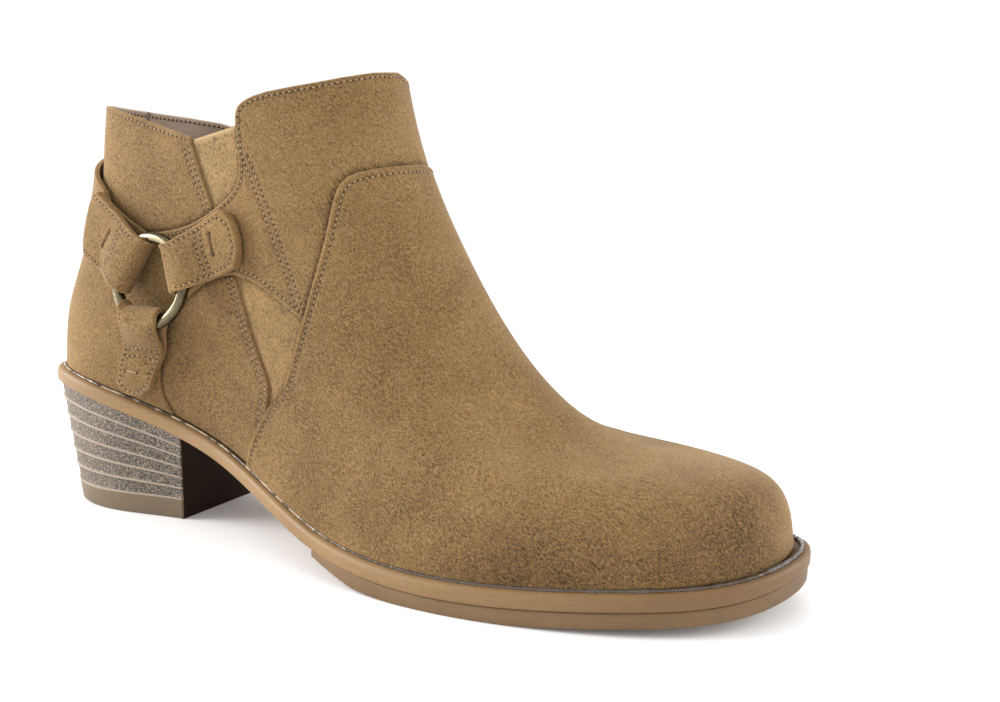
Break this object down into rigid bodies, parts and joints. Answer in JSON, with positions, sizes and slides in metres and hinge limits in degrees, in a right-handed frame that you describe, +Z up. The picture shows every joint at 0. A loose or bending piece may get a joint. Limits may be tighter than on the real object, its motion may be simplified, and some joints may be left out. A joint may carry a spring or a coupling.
{
  "type": "block heel ankle boot",
  "caption": "Right foot tan ankle boot with a stacked block heel, elastic side gores, a rounded toe and a ring harness on its outer side.",
  "frame": {"origin": "middle of the boot's footprint, on the floor plane that the heel and the forepart rest on", "axes": "+X from heel to toe, +Y towards the inner side of the foot, +Z up; the outer side with the ring faces -Y"},
  "size_m": [0.28, 0.1007, 0.1574],
  "materials": {
    "nubuck_tan": "brushed tan nubuck look with a soft, clouded nap",
    "gore_elastic": "golden tan woven elastic",
    "lining_mauve": "grey mauve lining",
    "strap_nubuck": "tan nubuck look straps with stitched edges",
    "rand_rubber": "tan brown rubber with a satin face",
    "tread_rubber": "tan brown rubber",
    "stack_grey_brown": "speckled grey brown stacked look with pale lines",
    "lift_rubber": "dark tan rubber top lift",
    "insole_mauve": "grey mauve sock lining",
    "antique_brass": "antique brass with bright worn tops"
  },
  "bodies": {
    "root": {"upper": "nubuck_tan", "insole": "insole_mauve", "rand": "rand_rubber", "forepart_sole": "tread_rubber", "heel_stack": "stack_grey_brown", "heel_lift": "lift_rubber", "ring": "antique_brass", "strap_rear": "strap_nubuck", "strap_front": "strap_nubuck", "strap_down": "strap_nubuck", "strap_back": "strap_nubuck"}
  },
  "joints": []
}
